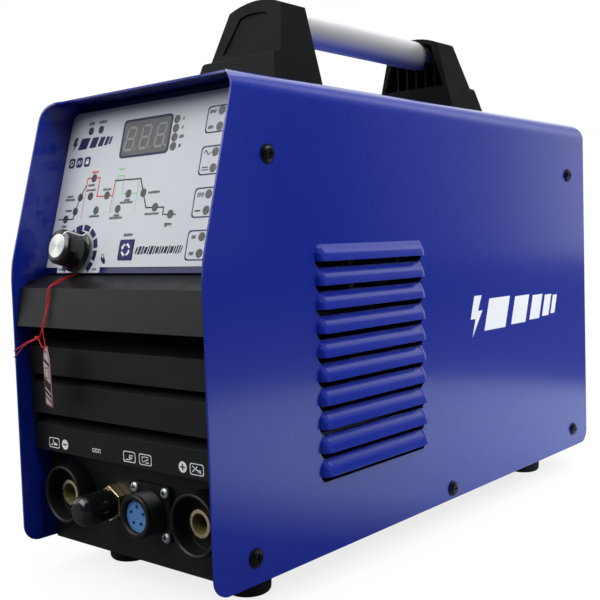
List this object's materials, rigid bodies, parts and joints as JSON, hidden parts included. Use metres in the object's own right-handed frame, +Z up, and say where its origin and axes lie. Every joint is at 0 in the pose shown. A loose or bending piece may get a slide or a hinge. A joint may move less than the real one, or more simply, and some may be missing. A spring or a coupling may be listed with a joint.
{
  "type": "tig welding machine",
  "caption": "Portable inverter TIG welding machine: folded blue steel case, sloping control panel, black slatted front with cable sockets, and a tube carrying handle.",
  "frame": {"origin": "on the floor, at the middle of the machine's bounding box", "axes": "+Z up, the control panel faces -Y, +X to the operator's right"},
  "size_m": [0.169, 0.481, 0.3407],
  "materials": {
    "blue_coat": "semi-gloss fine-textured powder coat",
    "zinc_steel": "bright zinc plated",
    "black_plastic": "satin moulded",
    "grey_plastic": "fine grained moulding",
    "satin_aluminium": "satin anodised",
    "black_screw": "black oxide",
    "rubber": "matte",
    "overlay_film": "printed satin film",
    "led_lens": "tinted lens",
    "circuit_board": "green solder mask",
    "key_plastic": "navy keycap",
    "knob_plastic": "gloss black",
    "brass": "turned",
    "blue_insulator": "moulded nylon",
    "copper": "enamelled copper",
    "rocker_red": "translucent red",
    "can_sleeve": "sleeved can",
    "ferrite": "sintered",
    "tag_card": "printed card and red cord"
  },
  "bodies": {
    "chassis": {"cover": "blue_coat", "base_tray": "blue_coat", "inner_chassis": "zinc_steel", "rear_panel": "blue_coat", "front_bezel": "black_plastic", "handle_post_front": "grey_plastic", "handle_post_rear": "grey_plastic", "handle_tube": "satin_aluminium", "handle_bolts": "zinc_steel", "cover_screws": "black_screw", "rubber_feet": "rubber", "foot_screws": "zinc_steel", "control_panel_plate": "blue_coat", "panel_overlay": "overlay_film", "display_module": "black_plastic", "indicator_leds": "led_lens", "panel_pcb": "circuit_board", "potentiometer": "zinc_steel", "knob_nut": "zinc_steel", "negative_socket_body": "black_plastic", "negative_socket_contact": "brass", "positive_socket_body": "black_plastic", "positive_socket_contact": "brass", "socket_nuts": "black_plastic", "gas_outlet": "brass", "connector_shell": "black_plastic", "connector_insert": "blue_insulator", "connector_screws": "zinc_steel", "output_leads": "copper", "power_switch": "black_plastic", "cable_gland": "black_plastic", "mains_cable": "rubber", "gas_inlet": "brass", "earth_stud": "zinc_steel", "fan_frame": "black_plastic", "fan_guard": "zinc_steel", "fan_screws": "zinc_steel", "main_board": "circuit_board", "capacitors": "can_sleeve", "heatsinks": "satin_aluminium", "transformer_core": "ferrite", "transformer_windings": "copper", "output_choke": "copper", "hf_coil": "copper", "solenoid_valve": "brass", "gas_hose": "rubber", "hang_tag": "tag_card"},
    "control_knob": {"control_knob": "knob_plastic", "knob_cap": "satin_aluminium", "knob_shaft": "zinc_steel"},
    "menu_key": {"menu_key": "key_plastic"},
    "process_key": {"process_key": "key_plastic"},
    "current_key": {"current_key": "key_plastic"},
    "pulse_key": {"pulse_key": "key_plastic"},
    "trigger_key": {"trigger_key": "key_plastic"},
    "power_rocker": {"power_rocker": "rocker_red"},
    "fan_rotor": {"fan_rotor": "black_plastic"},
    "gas_cap": {"gas_cap": "rubber"},
    "solenoid_plunger": {"solenoid_plunger": "zinc_steel"}
  },
  "joints": [
    {"name": "knob_turn", "type": "hinge", "parent": "chassis", "child": "control_knob", "pos_m": [-0.049, -0.2096, 0.18817], "axis": [0, 0.9637, -0.2669], "range_deg": [-173, 107]},
    {"name": "menu_key_press", "type": "slide", "parent": "chassis", "child": "menu_key", "axis": [0, 0.9637, -0.2669], "range_m": [0, 0.0006]},
    {"name": "process_key_press", "type": "slide", "parent": "chassis", "child": "process_key", "axis": [0, 0.9637, -0.2669], "range_m": [0, 0.0006]},
    {"name": "current_key_press", "type": "slide", "parent": "chassis", "child": "current_key", "axis": [0, 0.9637, -0.2669], "range_m": [0, 0.0006]},
    {"name": "pulse_key_press", "type": "slide", "parent": "chassis", "child": "pulse_key", "axis": [0, 0.9637, -0.2669], "range_m": [0, 0.0006]},
    {"name": "trigger_key_press", "type": "slide", "parent": "chassis", "child": "trigger_key", "axis": [0, 0.9637, -0.2669], "range_m": [0, 0.0006]},
    {"name": "power_rocker_tip", "type": "hinge", "parent": "chassis", "child": "power_rocker", "pos_m": [-0.042, 0.1825, 0.2455], "axis": [1, 0, 0], "range_deg": [0, 20]},
    {"name": "fan_spin", "type": "hinge", "parent": "chassis", "child": "fan_rotor", "pos_m": [0, 0.1725, 0.1555], "axis": [0, 1, 0], "continuous": true},
    {"name": "gas_cap_pull", "type": "slide", "parent": "chassis", "child": "gas_cap", "axis": [0, -1, 0], "range_m": [0, 0.03]},
    {"name": "plunger_lift", "type": "slide", "parent": "chassis", "child": "solenoid_plunger", "axis": [0, 0, 1], "range_m": [0, 0.0025]}
  ]
}
